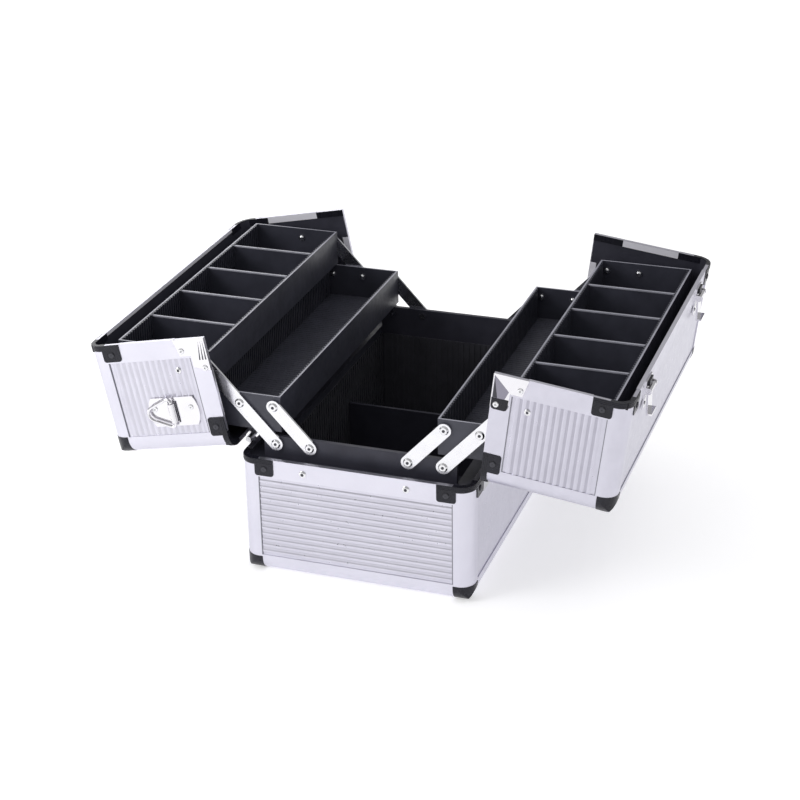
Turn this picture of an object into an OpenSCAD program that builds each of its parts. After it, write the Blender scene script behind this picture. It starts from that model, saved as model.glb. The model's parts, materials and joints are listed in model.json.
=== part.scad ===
// Cantilever tool box: a ribbed aluminium case whose two lids swing outwards
// while linked arms carry four trays up and out over the sides.
// X is the width, Y the length away from the front end, Z is up; the origin is
// the middle of the flat bottom. The box is modelled open, as it rests.

/* [Case] */
// Outer length of the case, front end to rear end
case_l = 355; // [330:1:380]
// Outer width of the closed case
case_w = 220; // [212:1:240]
// Height of the base rim above the bottom
base_h = 117; // [110:1:122]
// Height of a closed lid above the base rim
lid_h = 120; // [118:1:130]
// Radius of the rounded outer edges
edge_r = 14; // [10:1:16]
// Visible width of the aluminium edge profiles
frame_w = 18; // [16:0.5:20]
// Gap between the closed lid rim and the base rim
rim_gap = 0.6; // [0.4:0.1:1]
// Gap between the two closed lids
split_gap = 1; // [0.6:0.1:2]

/* [Walls] */
// Sheet thickness of the edge profiles
skin_t = 0.8; // [0.6:0.1:1]
// Sheet thickness of the ribbed facings
facing_t = 0.8; // [0.6:0.1:1]
// Pitch of the ribs on the end facings
rib_pitch = 6; // [5:0.5:8]
// Height of those ribs
rib_h = 0.5; // [0.3:0.1:0.7]
// Board thickness of the base walls
base_board = 3; // [2:0.5:4]
// Board thickness of the lid walls
lid_board = 1.5; // [1:0.1:2]

/* [Inner tub] */
// Gap between the base wall and the raised end wall
tub_end_gap = 10.9; // [9:0.1:16]
// Gap between the base wall and the inner side wall
tub_side_gap = 11.4; // [8:0.1:16]
// Thickness of the raised end walls
end_wall_t = 4; // [3:0.5:5]
// Thickness of the inner side walls
side_wall_t = 2.5; // [2:0.5:4]
// Rise of the raised end walls above the rim
end_wall_rise = 17.4; // [15:0.1:20]
// Depth below the rim of the ledge that closes the gap to it
ledge_drop = 7; // [5:0.5:12]
// Thickness of that ledge
ledge_t = 2; // [1.5:0.5:3]
// Pitch of the grooves in the inner lining
lining_pitch = 6; // [5:0.5:8]
// Depth of the top of the inner lining below the rim
lining_drop = 13; // [11:0.5:30]
// Top of the loose divider above the bottom
divider_top = 70; // [50:1:90]
// Distance of the divider from the middle
divider_y = 53; // [0:1:100]
// Thickness of the divider
divider_t = 3; // [2:0.5:5]

/* [Opening angles] */
// Opening angle of the right lid
lid_angle_right = 97; // [95:0.5:99]
// Opening angle of the left lid
lid_angle_left = 101.6; // [97:0.1:103]

/* [Hinges] */
// Distance of the hinge axis outside the case wall
hinge_out = 5.5; // [5:0.1:6.5]
// Outer radius of the hinge barrel
knuckle_r = 2.6; // [2.3:0.1:2.8]
// Radius of the hinge pin
pin_r = 1.2; // [1:0.05:1.4]
// Number of hinge barrels along one pin
knuckles = 23; // [15:2:31]
// Free length between the hinge and the case end
hinge_end = 33; // [31:0.5:40]
// Thickness of a hinge leaf
leaf_t = 1; // [0.8:0.1:1.2]
// Height of a hinge leaf
leaf_h = 13; // [10:0.5:15]

/* [Trays] */
// Room between the reach of an open lid and the edge of its upper tray
upper_room = 4; // [2:0.5:12]
// Height of every tray
tray_h = 34.5; // [32:0.5:35]
// Wall thickness of the trays
tray_wall = 1.8; // [1.2:0.1:2]
// Floor thickness of the trays
tray_floor = 1.6; // [1.2:0.1:2]
// Pitch of the divider slots
slot_pitch = 4.6; // [4:0.1:6]
// Depth of the divider slots
slot_depth = 1.1; // [0.8:0.1:1.4]
// Backing thickness of the slotted strips
strip_t = 0.6; // [0.4:0.1:1]
// Thickness of the tray dividers
tray_divider_t = 1.5; // [1.2:0.1:1.8]
// Number of bays in an upper tray
tray_bays = 5; // [3:1:7]

/* [Linkage] */
// Gap between an upper tray and the lower tray below its level
tray_gap = 1.7; // [1.2:0.1:4]
// Distance of a closed upper tray from the middle
upper_gap = 5.5; // [4:0.1:8]
// Distance of a closed lower tray from the middle
lower_gap = 6.6; // [4:0.1:9]
// Distance of the outer base pivots from the inner side walls
pivot_in = 12.2; // [9:0.1:16]
// Height of the base pivots above the rim
pivot_rise = 10.4; // [9.5:0.1:12]
// Height of a tray top above its pivots
tray_above = 9.8; // [9:0.1:10.5]
// Distance from a tray's edge to its first pivot
tray_edge = 6.3; // [5.5:0.1:7]
// Width of an arm
arm_w = 13; // [11:0.5:14]
// Thickness of an arm
arm_t = 2; // [1.5:0.1:2.5]
// Gap between an arm and the wall beside it
arm_gap = 0.3; // [0.2:0.05:0.5]
// Radius of the pivot rivets
rivet_r = 2.4; // [2:0.1:3]
// Running clearance around a rivet
rivet_gap = 0.06; // [0.04:0.01:0.1]
// Radius of a rivet head
rivet_head_r = 4.4; // [3.5:0.1:5]
// Height of a rivet head
rivet_head_t = 1.3; // [1:0.1:1.6]

/* [Corner pieces] */
// Height of a bottom corner cap
cap_h = 16; // [14:1:20]
// How far a corner piece stands proud of the profiles
corner_proud = 0.8; // [0.5:0.1:1.2]
// Height of the band round a rim corner
band_h = 5.5; // [4:0.5:8]
// Width of the screw tab on a rim corner
tab_w = 18; // [14:0.5:20]
// Height of the screw tab
tab_h = 16.5; // [12:0.5:20]
// Distance of the tab from the case corner
tab_in = 14.6; // [14:0.1:18]
// Leg length of the bright corner plates
plate_leg = 31; // [26:1:34]
// Leg width of the bright corner plates
plate_w = 16; // [12:1:18]

/* [Latches] */
// Distance of the latches from the case ends
latch_in = 67.5; // [52:0.5:88]
// Width of a latch lever
latch_w = 18; // [14:1:22]
// Distance of the latch pin from the split
latch_x = 12; // [11:0.5:14]
// Height of the latch pin above the lid
latch_rise = 4; // [3.8:0.1:5]

/* [Carrying handle] */
// Distance of the handle brackets from the middle
handle_y = 67; // [50:1:80]
// Length of the handle legs
handle_leg = 34; // [30:1:42]
// Radius of the handle grip
grip_r = 7; // [6:0.5:8]
// Distance of the handle pivot from the split
handle_x = 18; // [15:1:24]
// Gap between the folded grip and the lid
handle_gap = 0.8; // [0.5:0.1:2]

/* [Strap rings] */
// Distance of the ring bar from the outer lid side
ring_u = 41; // [38:1:50]
// Height of the ring bar above the lid rim
ring_v = 48; // [44:1:56]
// Length of the ring bar
ring_bar = 27; // [24:1:32]
// Reach of the ring from its bar
ring_reach = 25; // [20:1:30]
// Radius of the ring wire
wire_r = 1.5; // [1.2:0.1:1.8]

/* [Hidden] */
$fn = 48;
eps = 0.05;
over = 20;
half_l = case_l / 2;
half_w = case_w / 2;
lid_z0 = base_h + rim_gap;
lid_top = base_h + lid_h;
split_x = split_gap / 2;
facing_in = edge_r + 0.2;
rib_start = 0.5;
rib_flank = 1.4;
rib_groove = 1.7;
base_in = skin_t + facing_t + base_board;
lid_in = skin_t + facing_t + lid_board;
board_in = skin_t + facing_t;
hinge_x = half_w + hinge_out;
hinge_z = base_h + rim_gap / 2;
hinge_l = case_l - 2 * hinge_end;
knuckle_l = hinge_l / knuckles;
knuckle_gap = 0.3;
leaf_drop = 5;
tongue_t = 0.6;
tongue_foot = 5.4;
tongue_slope = 0.4;
tab_r = 2.5;
pin_gap = 0.05;
tub_l = case_l - 2 * (base_in + tub_end_gap);
tub_w = case_w - 2 * (base_in + tub_side_gap);
end_wall_h = base_h + end_wall_rise;
ledge_z = base_h - ledge_drop;
lining_h = base_h - lining_drop;
tray_l = tub_l;
pivot_z = base_h + pivot_rise;
pivot_b_x = tub_w / 2 - side_wall_t - pivot_in;
stage_reach = (pivot_b_x - tray_edge - upper_gap) / 2;
stage_rise = tray_h + tray_gap;
arm_pitch = norm([stage_reach, stage_rise]);
arm_angle = atan2(stage_rise, stage_reach);
pivot_a_x = stage_reach + tray_edge + lower_gap;
pivot_gap = pivot_b_x - pivot_a_x;
lower_w = 2 * (pivot_gap + tray_edge);
divider_slots = 2 * floor(tray_l / tray_bays / slot_pitch / 2);
lower_z = pivot_z + stage_rise;
upper_z = pivot_z + 2 * stage_rise;
lower_x = pivot_a_x + stage_reach;
upper_x = pivot_b_x + 2 * stage_reach;
arm_y = tray_l / 2 + arm_gap;
head_y = arm_y + arm_t + arm_gap / 2;
inner_head_t = 0.8;
head_lip = 1;
head_slope = 1.2;
dimple_t = 0.6;
dimple_r = rivet_r - 0.9;
latch_tilt = lid_angle_right - 90;
handle_tilt = lid_angle_left - 90;
ring_x = half_w - ring_u;
ring_z = base_h + ring_v;
ring_out = 4.3;
ring_low_r = 3;
ring_top_r = 7;
divider_play = 0.2;
divider_drop = 1;
lining_back = 0.6;
lining_depth = 0.8;
latch_plate_t = 1.2;
latch_plate_x = 3;
latch_plate_l = 27;
latch_y = half_l - latch_in;
latch_z = lid_top + latch_rise;
latch_ear = 1.6;
latch_ear_r = 3;
latch_pin_gap = 0.01;
latch_side_gap = 0.4;
lever_t = 1.6;
lever_knuckle_r = 2.4;
catch_x = 7.2;
catch_t = 0.7;
catch_rise = 3.2;
catch_front = 4;
catch_l = 18;
catch_nose = 2;
catch_foot = 1.4;
catch_w = 1.8;
hook_gap = 0.3;
hook_play = 0.8;
handle_rise = grip_r + handle_gap;
leg_r = 4;
boss_r = 5;
boss_w = 6;
boss_gap = 0.4;
stub_r = 2.6;
stub_end = 0.5;
bracket_t = 1.4;
bracket_half = 11;
bracket_inner = 4;
bracket_outer = 8;
strap_plate_t = 1.2;
strap_plate_r = 25.5;
strap_plate_w = 28;
bridge_l = 18;
bridge_r = 3;
lower_edge = lower_x - tray_edge;
upper_edge = upper_x - tray_edge;
upper_w = hinge_x + lid_h - upper_room - upper_edge;
lower_top = lower_z + tray_above;
upper_top = upper_z + tray_above;
lower_pivots = [for (i = [0:2]) lower_x + i * pivot_gap];
upper_pivots = [for (i = [0:1]) upper_x + i * pivot_gap];

// ---- shared helpers ----

// Extrudes an outline drawn in X and Z along Y, centred on the middle
module along_y(length) {
  translate([0, length / 2, 0])
    rotate([90, 0, 0])
      linear_extrude(length) children();
}

// Extrudes an outline drawn in Y and Z along X, starting at X = 0
module along_x(length) {
  rotate([90, 0, 90])
    linear_extrude(length) children();
}

module span(lo, hi) {
  translate(lo) cube(hi - lo);
}

// Both ends of the case: the child is drawn at the rear and mirrored to the front
module both_ends() {
  children();
  mirror([0, 1, 0]) children();
}

module both_sides() {
  children();
  mirror([1, 0, 0]) children();
}

// Puts a closed right lid in its open place, or mirrors it to the left
module in_lid(side) {
  angle = side > 0 ? lid_angle_right : lid_angle_left;
  mirror([side > 0 ? 0 : 1, 0, 0])
    translate([hinge_x, 0, hinge_z])
      rotate([0, angle, 0])
        translate([-hinge_x, 0, -hinge_z]) children();
}

module on_side(side) {
  mirror([side > 0 ? 0 : 1, 0, 0]) children();
}

// ---- case bodies ----

// Rectangle whose listed corners are rounded: [low left, low right, top right, top left]
module soft_rect(lo, hi, r, corners) {
  difference() {
    translate(lo) square(hi - lo);
    if (corners[0]) corner_cut(lo[0], lo[1], r, 1, 1);
    if (corners[1]) corner_cut(hi[0], lo[1], r, -1, 1);
    if (corners[2]) corner_cut(hi[0], hi[1], r, -1, -1);
    if (corners[3]) corner_cut(lo[0], hi[1], r, 1, -1);
  }
}

module corner_cut(x, y, r, sx, sy) {
  difference() {
    translate([sx > 0 ? x : x - r, sy > 0 ? y : y - r]) square(r);
    translate([x + sx * r, y + sy * r]) circle(r);
  }
}

// The base as a solid block, taken in by inset and carried up by rise
module base_block(inset, rise) {
  r = edge_r - inset;
  x = half_w - inset;
  y = half_l - inset;
  top = base_h + rise;
  intersection() {
    linear_extrude(top) soft_rect([-x, -y], [x, y], r, [1, 1, 1, 1]);
    along_y(case_l + over) soft_rect([-x, inset], [x, top + 1], r, [1, 1, 0, 0]);
    translate([-case_w, 0, 0])
      along_x(2 * case_w) soft_rect([-y, inset], [y, top + 1], r, [1, 1, 0, 0]);
  }
}

// The closed right lid as a solid block; rise carries it past its two open faces
module lid_block(inset, rise) {
  r = edge_r - inset;
  x0 = split_x - rise;
  x1 = half_w - inset;
  y = half_l - inset;
  z0 = lid_z0 - rise;
  z1 = lid_top - inset;
  intersection() {
    translate([0, 0, z0]) linear_extrude(z1 - z0) soft_rect([x0, -y], [x1, y], r, [0, 1, 1, 0]);
    along_y(case_l + over) soft_rect([x0 - 1, z0 - 1], [x1, z1], r, [0, 0, 1, 0]);
    translate([x0, 0, 0]) along_x(x1 - x0) soft_rect([-y, z0 - 1], [y, z1], r, [0, 0, 1, 1]);
  }
}

module base_shell() {
  color("dimgray")
    intersection() {
      difference() {
        base_block(board_in, 0);
        base_block(base_in, over);
      }
      span([-case_w, -case_l, 0], [case_w, case_l, base_h - skin_t]);
    }
}

module base_windows() {
  z0 = frame_w;
  z1 = base_h - frame_w;
  x = half_w - frame_w;
  y = half_l - frame_w;
  span([-x, -case_l, z0], [x, case_l, z1]);
  span([-case_w, -y, z0], [case_w, y, z1]);
  span([-x, -y, -1], [x, y, z0]);
}

// Room taken by the four bottom caps
module base_cap_room(grow) {
  w = frame_w + grow;
  both_sides() both_ends()
    span([half_w - w, half_l - w, -1], [case_w, case_l, cap_h + grow]);
}

// Room taken by the rim corners, above the band's lower edge
module base_rim_room() {
  both_sides() both_ends()
    span([half_w - frame_w, half_l - frame_w, base_h - skin_t], [case_w, case_l, base_h + 1]);
}

module base_frame() {
  color("gainsboro") {
    difference() {
      base_block(0, 0);
      base_block(skin_t, over);
      base_windows();
      base_cap_room(eps);
      base_rim_room();
    }
    difference() {
      intersection() {
        base_block(skin_t / 2, 0);
        span([-case_w, -case_l, base_h - skin_t], [case_w, case_l, base_h]);
      }
      base_block(base_in, over);
      base_rim_room();
    }
  }
}

// Ribbed sheet lying in the X and Z plane with its ribs along X and facing -Y.
// The sheet runs past the window on every side to lie under the profiles.
module ribbed_sheet(x0, x1, z0, z1, lap) {
  count = floor((z1 - z0 - 2) / rib_pitch);
  first = (z0 + z1 - count * rib_pitch) / 2;
  last = first + count * rib_pitch;
  foot = rib_pitch - rib_groove;
  profile = concat(
    [[0, first]],
    [for (i = [0:count - 1]) let (z = first + i * rib_pitch + rib_start)
      for (p = [[0, z], [-rib_h, z + rib_flank], [-rib_h, z + foot - rib_flank], [0, z + foot]]) p],
    [[0, last], [facing_t, last], [facing_t, first]]);
  span([x0 - lap, 0, z0 - lap], [x1 + lap, facing_t, z1 + lap]);
  translate([x0 + eps, 0, 0]) along_x(x1 - x0 - 2 * eps) polygon(profile);
}

module base_facings() {
  lap = frame_w - facing_in;
  x = half_w - frame_w;
  side_x = half_w - skin_t;
  side_y = half_l - facing_in;
  color("silver")
    difference() {
      union() {
        both_ends()
          mirror([0, 1, 0])
            translate([0, -half_l + skin_t, 0])
              ribbed_sheet(-x, x, frame_w, base_h - frame_w, lap);
        both_sides()
          span([side_x - facing_t, -side_y, facing_in], [side_x, side_y, base_h - facing_in]);
      }
      base_cap_room(0);
    }
}

module base_bottom_sheet() {
  x = half_w - frame_w - eps;
  y = half_l - frame_w - eps;
  color("silver") span([-x, -y, 0], [x, y, board_in]);
}

// Screw tab on the far end wall between x and x + tab_w, rounded away from the rim at z0 or z1
module end_tab(x, z0, z1, rounded) {
  intersection() {
    along_y(2 * case_l) soft_rect([x, z0], [x + tab_w, z1], tab_r, rounded);
    span([x, half_l - 1, z0], [x + tab_w, case_l, z1]);
  }
}

// The same tab on the right side wall
module side_tab(y, z0, z1, rounded) {
  translate([half_w - 1, 0, 0]) along_x(case_w) soft_rect([y, z0], [y + tab_w, z1], tab_r, rounded);
}

// Band, screw tabs and top flange of one rim corner, drawn at +X +Y
module rim_corner() {
  reach = tab_in + tab_w;
  x = half_w - reach;
  y = half_l - reach;
  intersection() {
    difference() {
      base_block(-corner_proud, 0);
      base_block(-eps, over);
    }
    union() {
      span([x, y, base_h - band_h], [case_w, case_l, base_h]);
      end_tab(x, base_h - tab_h, base_h - 0.5, [1, 1, 0, 0]);
      side_tab(y, base_h - tab_h, base_h - 0.5, [1, 1, 0, 0]);
    }
  }
  intersection() {
    difference() {
      base_block(-corner_proud, 0);
      base_block(base_in, over);
    }
    span([half_w - frame_w, half_l - frame_w, base_h - skin_t], [case_w, case_l, base_h]);
  }
}

module base_corners() {
  color("#202024") {
    both_sides() both_ends() rim_corner();
    intersection() {
      difference() {
        base_block(-corner_proud / 2, 0);
        base_block(board_in - eps, over);
      }
      base_cap_room(-eps);
      span([-case_w, -case_l, 0], [case_w, case_l, base_h]);
    }
  }
}

// ---- inner tub ----

module raised_end_wall() {
  x = tub_w / 2 - side_wall_t - eps;
  y = tub_l / 2;
  bore_r = rivet_r + rivet_gap;
  difference() {
    span([-x, y - end_wall_t, base_in], [x, y, end_wall_h]);
    both_sides()
      for (px = [pivot_a_x, pivot_b_x])
        translate([px, y + 1, pivot_z]) rotate([90, 0, 0]) cylinder(h = end_wall_t + 2, r = bore_r);
  }
}

module raised_end_wall_front() {
  color("#26262b") mirror([0, 1, 0]) raised_end_wall();
}

module raised_end_wall_rear() {
  color("#26262b") raised_end_wall();
}

module inner_side_walls() {
  x = tub_w / 2;
  color("#26262b")
    both_sides()
      span([x - side_wall_t, -tub_l / 2, base_in], [x, tub_l / 2, ledge_z]);
}

// Flat ring between the tub and the outer walls
module inner_ledge() {
  x = half_w - base_in - eps;
  y = half_l - base_in - eps;
  top = ledge_z + ledge_t;
  tub_x = tub_w / 2;
  tub_y = tub_l / 2;
  color("#26262b")
    difference() {
      translate([0, 0, ledge_z])
        linear_extrude(ledge_t) soft_rect([-x, -y], [x, y], edge_r - base_in, [1, 1, 1, 1]);
      span([-tub_x + side_wall_t, -tub_y - eps, 0], [tub_x - side_wall_t, tub_y + eps, top + 1]);
    }
}

// Comb outline along X from 0 to length, teeth towards +Y
function comb(length, pitch, back, depth, tooth) =
  let (count = 2 * floor((length - 1) / pitch / 2), first = (length - count * pitch) / 2)
  concat(
    [[0, 0], [0, back]],
    [for (i = [0:count - 1], p = [
      [first + i * pitch + (pitch - tooth) / 2, back],
      [first + i * pitch + (pitch - tooth) / 2, back + depth],
      [first + i * pitch + (pitch + tooth) / 2, back + depth],
      [first + i * pitch + (pitch + tooth) / 2, back]]) p],
    [[length, back], [length, 0]]);

module lining_strip(length, height) {
  linear_extrude(height)
    polygon(comb(length, lining_pitch, lining_back, lining_depth, lining_pitch * 0.45));
}

module base_lining() {
  x = tub_w / 2 - side_wall_t - eps;
  y = tub_l / 2 - end_wall_t - eps;
  h = lining_h - base_in;
  tooth_room = lining_back + lining_depth + eps;
  color("#1c1c20")
    translate([0, 0, base_in]) {
      both_sides()
        translate([x, -y, 0]) rotate([0, 0, 90]) lining_strip(2 * y, h);
      both_ends()
        translate([x - tooth_room, y, 0])
          rotate([0, 0, 180]) lining_strip(2 * (x - tooth_room), h);
    }
}

module base_divider() {
  x = tub_w / 2 - side_wall_t - lining_back - lining_depth - 4 * eps;
  color("#2a2a2f")
    span([-x, divider_y - divider_t / 2, base_in], [x, divider_y + divider_t / 2, divider_top]);
}

// ---- hinges ----

// One barrel of the hinge with the tongue that joins it to its leaf
module barrel(index, up) {
  y0 = -hinge_l / 2 + index * knuckle_l + knuckle_gap / 2;
  y1 = y0 + knuckle_l - knuckle_gap;
  flip = up ? 1 : -1;
  outer = flip * tongue_foot;
  translate([hinge_x, y1, hinge_z]) {
    rotate([90, 0, 0]) cylinder(h = y1 - y0, r = knuckle_r);
    rotate([90, 0, 0])
      linear_extrude(y1 - y0)
        polygon([
          [-hinge_out, outer + flip], [-hinge_out, outer - flip * tongue_t],
          [-hinge_out + leaf_t, outer - flip], [-pin_r, flip * tongue_t],
          [pin_r - 2 * tongue_t, flip * (knuckle_r - tongue_slope)], [-hinge_out + leaf_t, outer + flip]]);
  }
}

module hinge_leaf(up) {
  flip = up ? 1 : -1;
  z0 = hinge_z + flip * leaf_drop;
  first = up ? 1 : 0;
  difference() {
    union() {
      span([half_w, -hinge_l / 2, min(z0, z0 + flip * leaf_h)],
           [half_w + leaf_t, hinge_l / 2, max(z0, z0 + flip * leaf_h)]);
      for (i = [first:2:knuckles - 1]) barrel(i, up);
    }
    translate([hinge_x, hinge_l / 2 + 1, hinge_z])
      rotate([90, 0, 0]) cylinder(h = hinge_l + 2, r = pin_r + pin_gap);
  }
}

module hinge_base_leaf_right() {
  color("silver") hinge_leaf(false);
}

module hinge_base_leaf_left() {
  color("silver") on_side(-1) hinge_leaf(false);
}

module hinge_lid_leaf_right() {
  color("silver") in_lid(1) hinge_leaf(true);
}

module hinge_lid_leaf_left() {
  color("silver") in_lid(-1) hinge_leaf(true);
}

module hinge_pins() {
  color("gray")
    both_sides()
      translate([hinge_x, hinge_l / 2, hinge_z])
        rotate([90, 0, 0]) cylinder(h = hinge_l, r = pin_r);
}

// ---- lids, drawn closed on the right ----

module lid_shell() {
  color("#26262b")
    intersection() {
      difference() {
        lid_block(board_in, 0);
        lid_block(lid_in, over);
      }
      span([split_x + skin_t, -case_l, lid_z0 + skin_t], [case_w, case_l, lid_top]);
    }
}

module lid_windows() {
  x0 = split_x + frame_w;
  x1 = half_w - frame_w;
  y = half_l - frame_w;
  z0 = lid_z0 + frame_w;
  z1 = lid_top - frame_w;
  span([x0, -case_l, z0], [x1, case_l, z1]);
  span([x1, -y, z0], [case_w, y, z1]);
  span([x0, -y, z1], [x1, y, lid_top + 1]);
}

// Room of the two outer top caps
module lid_cap_room(grow) {
  w = frame_w + grow;
  both_ends()
    span([half_w - w, half_l - w, lid_top - cap_h - grow], [case_w, case_l, lid_top + over]);
}

// Room of the flanges of the rim corners, at the hinge side and at the split
module lid_rim_room() {
  both_ends() {
    span([half_w - frame_w, half_l - frame_w, lid_z0 - 1], [case_w, case_l, lid_z0 + skin_t]);
    span([split_x - 1, half_l - frame_w, lid_top - frame_w], [split_x + skin_t, case_l, lid_top + 1]);
  }
}

module lid_frame() {
  color("gainsboro")
    difference() {
      union() {
        difference() {
          lid_block(0, 0);
          lid_block(skin_t, over);
          lid_windows();
        }
        difference() {
          lid_block(skin_t / 2, 0);
          lid_block(lid_in, over);
          span([split_x + skin_t, -case_l, lid_z0 + skin_t], [case_w, case_l, lid_top]);
        }
      }
      lid_cap_room(eps);
      lid_rim_room();
    }
}

module lid_facings() {
  lap = frame_w - facing_in;
  y = half_l - facing_in;
  x1 = half_w - skin_t;
  z1 = lid_top - skin_t;
  color("silver")
    difference() {
      union() {
        both_ends()
          mirror([0, 1, 0])
            translate([0, -half_l + skin_t, 0])
              ribbed_sheet(split_x + frame_w, half_w - frame_w, lid_z0 + frame_w,
                           lid_top - frame_w, lap);
        span([x1 - facing_t, -y, lid_z0 + facing_in], [x1, y, lid_top - facing_in]);
        span([split_x + facing_in, -y, z1 - facing_t], [half_w - facing_in, y, z1]);
      }
      lid_cap_room(0);
    }
}

// Rim corner at the hinge side, drawn at the rear
module lid_rim_corner() {
  reach = tab_in + tab_w;
  x = half_w - reach;
  y = half_l - reach;
  intersection() {
    difference() {
      lid_block(-corner_proud, 0);
      lid_block(-eps, over);
    }
    union() {
      span([x, y, lid_z0], [case_w, case_l, lid_z0 + band_h]);
      end_tab(x, lid_z0 + 0.5, lid_z0 + tab_h, [0, 0, 1, 1]);
      side_tab(y, lid_z0 + 0.5, lid_z0 + tab_h, [0, 0, 1, 1]);
    }
  }
  intersection() {
    difference() {
      lid_block(-corner_proud, 0);
      lid_block(lid_in, over);
    }
    span([half_w - frame_w, half_l - frame_w, lid_z0], [case_w, case_l, lid_z0 + skin_t]);
  }
}

// Rim corner at the split, drawn at the rear
module lid_split_corner() {
  reach = tab_in + tab_w;
  y = half_l - reach;
  z = lid_top - reach;
  intersection() {
    difference() {
      lid_block(-corner_proud, 0);
      lid_block(-eps, over);
    }
    union() {
      span([split_x, y, z], [split_x + band_h, case_l, lid_top + over]);
      intersection() {
        along_y(2 * case_l) soft_rect([split_x + 0.5, z], [split_x + tab_h, z + tab_w], tab_r, [0, 1, 1, 0]);
        span([split_x, half_l - 1, z], [case_w, case_l, z + tab_w]);
      }
      translate([0, 0, lid_top - 1])
        linear_extrude(over)
          soft_rect([split_x + 0.5, y], [split_x + tab_h, y + tab_w], tab_r, [0, 1, 1, 0]);
    }
  }
  intersection() {
    difference() {
      lid_block(-corner_proud, 0);
      lid_block(lid_in, over);
    }
    span([split_x, half_l - frame_w, lid_top - frame_w],
         [split_x + skin_t, case_l, lid_top + over]);
  }
}

module lid_corners() {
  color("#202024") {
    both_ends() {
      lid_rim_corner();
      lid_split_corner();
    }
    intersection() {
      difference() {
        lid_block(-corner_proud / 2, 0);
        lid_block(board_in - eps, over);
      }
      lid_cap_room(-eps);
    }
  }
}

// Bright L-shaped plates at the lower corner of each lid end
module lid_corner_plates() {
  t = corner_proud;
  wrap = 4;
  x0 = split_x;
  z0 = lid_z0;
  color("whitesmoke")
    both_ends()
      translate([0, half_l + t, 0])
        rotate([90, 0, 0])
          linear_extrude(t)
            polygon([
              [x0, z0], [x0 + plate_leg, z0], [x0 + plate_leg - wrap, z0 + plate_w],
              [x0 + plate_w, z0 + plate_w], [x0 + plate_w, z0 + plate_leg - wrap],
              [x0, z0 + plate_leg]]);
}

// ---- latches ----

module at_latches() {
  for (y = [-latch_y, latch_y]) translate([0, y, 0]) children();
}

module latch_plate() {
  half = latch_w / 2 + latch_side_gap;
  difference() {
    union() {
      span([latch_plate_x, -half - latch_ear, lid_top],
           [latch_plate_x + latch_plate_l, half + latch_ear, lid_top + latch_plate_t]);
      for (s = [-1, 1])
        translate([latch_x, s * (half + latch_ear / 2) + latch_ear / 2, lid_top])
          rotate([90, 0, 0])
            linear_extrude(latch_ear) {
              translate([-latch_ear_r, 0]) square([2 * latch_ear_r, latch_rise]);
              translate([0, latch_rise]) circle(latch_ear_r);
            }
    }
    translate([latch_x, half + latch_ear + 1, latch_z])
      rotate([90, 0, 0]) cylinder(h = 2 * (half + latch_ear + 1), r = pin_r + latch_pin_gap);
  }
  translate([latch_x, half + latch_ear, latch_z])
    rotate([90, 0, 0]) cylinder(h = 2 * (half + latch_ear), r = pin_r);
}

module latch_plates() {
  color("silver") in_lid(1) at_latches() latch_plate();
}

// Lever drawn latched: flat over the split with its hook behind the catch
module latch_lever_shape() {
  hook_x = -catch_x - catch_w - hook_play;
  hook_z = lid_top + catch_t + hook_gap;
  difference() {
    translate([0, latch_w / 2, 0])
      rotate([90, 0, 0])
        linear_extrude(latch_w)
          union() {
            translate([latch_x, latch_z]) circle(lever_knuckle_r);
            polygon([
              [latch_x, latch_z + lever_knuckle_r], [latch_x - 1, latch_z + lever_knuckle_r],
              [hook_x - lever_t, latch_z + lever_knuckle_r],
              [hook_x - lever_t, hook_z], [hook_x, hook_z],
              [hook_x, latch_z + lever_knuckle_r - lever_t],
              [latch_x, latch_z + lever_knuckle_r - lever_t]]);
          }
    translate([latch_x, latch_w / 2 + 1, latch_z])
      rotate([90, 0, 0]) cylinder(h = latch_w + 2, r = pin_r + rivet_gap);
  }
}

// The lever hangs from its pin beside the open lid
module latch_lever_at(y) {
  in_lid(1)
    translate([latch_x, y, latch_z])
      rotate([0, 180 - latch_tilt, 0])
        translate([-latch_x, 0, -latch_z]) latch_lever_shape();
}

module latch_lever_front() {
  color("gray") latch_lever_at(-latch_y);
}

module latch_lever_rear() {
  color("gray") latch_lever_at(latch_y);
}

// Catches on the left lid, drawn closed on the right and mirrored
module latch_catches() {
  half = latch_w / 2;
  color("silver")
    in_lid(-1)
      at_latches() {
        span([catch_x - catch_front, -half, lid_top],
             [catch_x - catch_front + catch_l, half, lid_top + catch_t]);
        translate([0, half - 1, lid_top])
          rotate([90, 0, 0])
            linear_extrude(2 * half - 2)
              polygon([[catch_x - catch_nose, 0], [catch_x - catch_nose, catch_foot],
                       [catch_x, catch_rise], [catch_x + catch_w, catch_rise],
                       [catch_x + catch_w, 0]]);
      }
}

// ---- carrying handle on the left lid ----

module handle_brackets() {
  color("silver")
    in_lid(-1)
      both_ends()
        translate([handle_x, handle_y, lid_top]) {
          difference() {
            union() {
              span([-bracket_half, -boss_w / 2 - bracket_inner, 0],
                   [bracket_half, boss_w / 2 + bracket_outer, bracket_t]);
              translate([0, boss_w / 2, 0])
                rotate([90, 0, 0])
                  linear_extrude(boss_w) {
                    translate([-boss_r, 0]) square([2 * boss_r, handle_rise]);
                    translate([0, handle_rise]) circle(boss_r);
                  }
            }
            translate([0, boss_w / 2 + 1, handle_rise])
              rotate([90, 0, 0]) cylinder(h = boss_w + 2, r = stub_r + rivet_gap);
          }
        }
}

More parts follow.
